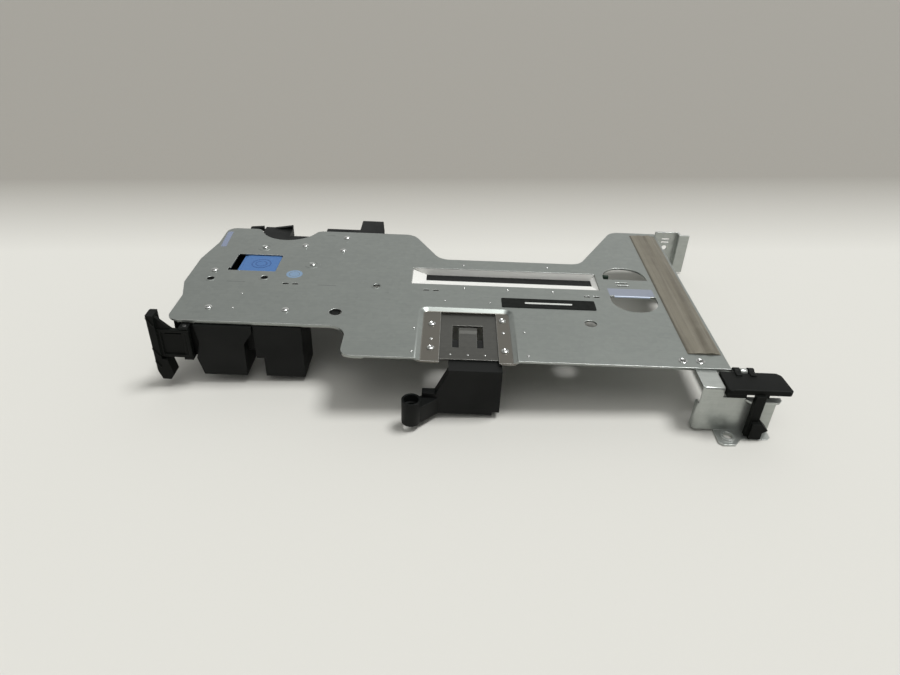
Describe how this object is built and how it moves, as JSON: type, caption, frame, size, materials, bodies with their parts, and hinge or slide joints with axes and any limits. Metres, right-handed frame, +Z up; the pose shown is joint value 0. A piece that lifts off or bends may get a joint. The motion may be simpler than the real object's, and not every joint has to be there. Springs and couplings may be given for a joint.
{
  "type": "riser card",
  "caption": "Flat sheet-metal riser for a server: carries an expansion card on an upright slot board, with a rear bracket, hinged card latch, end latch and sliding release button.",
  "frame": {"origin": "axis of the guide foot's locating socket, at the socket's lower face", "axes": "+X to the rear bracket, +Y from the latch side to the board side, +Z up out of the plate"},
  "size_m": [0.2992, 0.1796, 0.0402],
  "materials": {
    "plate_steel": "satin zinc-plated sheet",
    "bracket_steel": "satin zinc-plated sheet",
    "rivet_steel": "satin",
    "pin_steel": "polished",
    "black_plastic": "moulded, fine grain",
    "latch_plastic": "moulded, satin",
    "blue_plastic": "moulded, satin",
    "gasket_fabric": "conductive cloth over foam",
    "label_film": "matt film, blank",
    "circuit_board": "solder mask",
    "connector_plastic": "moulded",
    "capacitor_ceramic": "fired ceramic"
  },
  "bodies": {
    "frame": {"top_plate": "plate_steel", "foot_bracket": "bracket_steel", "guide_foot": "black_plastic", "rear_bracket": "bracket_steel", "emi_gasket": "gasket_fabric", "id_label": "label_film", "card_latch_pin": "pin_steel", "card_guide": "black_plastic", "end_latch_pin": "pin_steel", "button_housing": "black_plastic", "button_spring": "pin_steel", "riser_board": "circuit_board", "slot_connector": "connector_plastic", "board_screws": "pin_steel", "board_chip": "connector_plastic", "board_capacitors": "capacitor_ceramic", "plate_rivets": "rivet_steel", "bracket_rivets": "rivet_steel", "foot_rivets": "rivet_steel", "far_guide": "black_plastic"},
    "card_latch": {"card_latch": "latch_plastic"},
    "end_latch": {"end_latch": "latch_plastic"},
    "release_button": {"release_button": "blue_plastic"}
  },
  "joints": [
    {"name": "card_latch_hinge", "type": "hinge", "parent": "frame", "child": "card_latch", "pos_m": [0.1521, 0.0099, 0.0278], "axis": [-1, 0, 0], "range_deg": [0, 90]},
    {"name": "end_latch_hinge", "type": "hinge", "parent": "frame", "child": "end_latch", "pos_m": [-0.113, 0.0336, 0.0173], "axis": [0, 0, 1], "range_deg": [0, 70]},
    {"name": "button_slide", "type": "slide", "parent": "frame", "child": "release_button", "axis": [-1, 0, 0], "range_m": [0, 0.0032], "stiffness_N_per_m": 300, "springref_m": -0.003, "deforming": ["button_spring"]}
  ]
}
